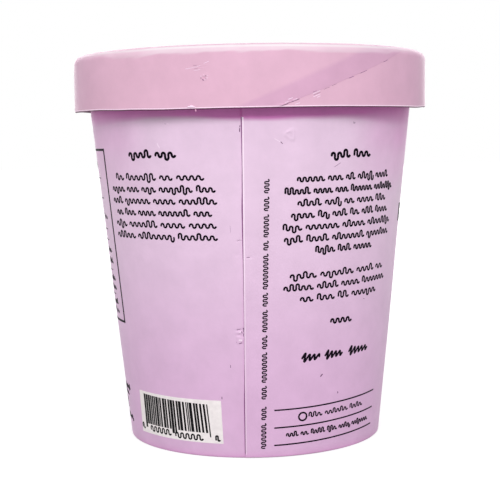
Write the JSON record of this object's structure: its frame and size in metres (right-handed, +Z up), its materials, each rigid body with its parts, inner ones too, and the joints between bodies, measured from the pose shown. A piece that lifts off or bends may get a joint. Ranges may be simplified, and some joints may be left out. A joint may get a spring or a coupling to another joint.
{
  "type": "ice cream pint",
  "caption": "Shut, full ice cream tub of one pint: tapered paperboard cup with a lapped side seam and a recessed foot, under a pressed-on board lid with a slanted lap.",
  "frame": {"origin": "centre of the ring that the tub stands on, on the tub's axis", "axes": "+Z up the tub's axis, from the foot to the lid; -Y towards the side with the seam and the printed panels"},
  "size_m": [0.098, 0.0983, 0.1055],
  "materials": {
    "cup_board": "printed and coated board, satin",
    "pan_board": "unprinted coated board, satin",
    "lid_board": "printed and coated board, satin"
  },
  "bodies": {
    "root": {"cup": "cup_board", "base_pan": "pan_board", "lid_band": "lid_board", "lid_panel": "lid_board"}
  },
  "joints": []
}
